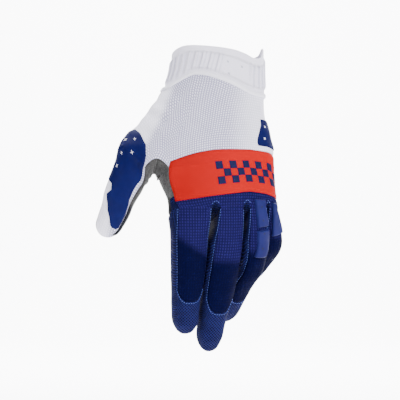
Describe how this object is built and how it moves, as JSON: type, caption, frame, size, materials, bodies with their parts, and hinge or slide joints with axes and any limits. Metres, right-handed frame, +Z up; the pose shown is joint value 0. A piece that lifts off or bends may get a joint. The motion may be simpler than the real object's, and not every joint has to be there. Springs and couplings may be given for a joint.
{
  "type": "motocross glove",
  "caption": "Slip-on riding glove for the left hand in its worn form, with an elastic cuff, mesh back, band over the knuckles, finger guards and suede palm.",
  "frame": {"origin": "middle of the wrist opening, at the level of the cuff's mean upper edge", "axes": "+Z up out of the wrist opening, against the fingers; -Y out of the back of the hand; -X to the thumb's side"},
  "size_m": [0.1377, 0.0875, 0.2264],
  "materials": {
    "white_elastic": "matt elastic rib",
    "white_mesh": "matt mesh",
    "red_band": "matt woven",
    "navy_mesh": "matt mesh",
    "navy_knit": "matt knit",
    "grey_suede": "napped",
    "navy_film": "satin",
    "blue_rubber": "satin"
  },
  "bodies": {
    "root": {"cuff": "white_elastic", "back_panel": "white_mesh", "knuckle_band": "red_band", "finger_back_panel": "navy_mesh", "palm_panel": "grey_suede", "thumb_palm": "grey_suede", "finger_sides_index": "navy_knit", "finger_sides_middle": "navy_knit", "finger_sides_ring": "navy_knit", "finger_sides_little": "navy_knit", "thumb_patch": "navy_film", "side_patch": "navy_film", "ring_guard_upper": "blue_rubber", "ring_guard_lower": "blue_rubber", "little_guard": "blue_rubber"}
  },
  "joints": []
}
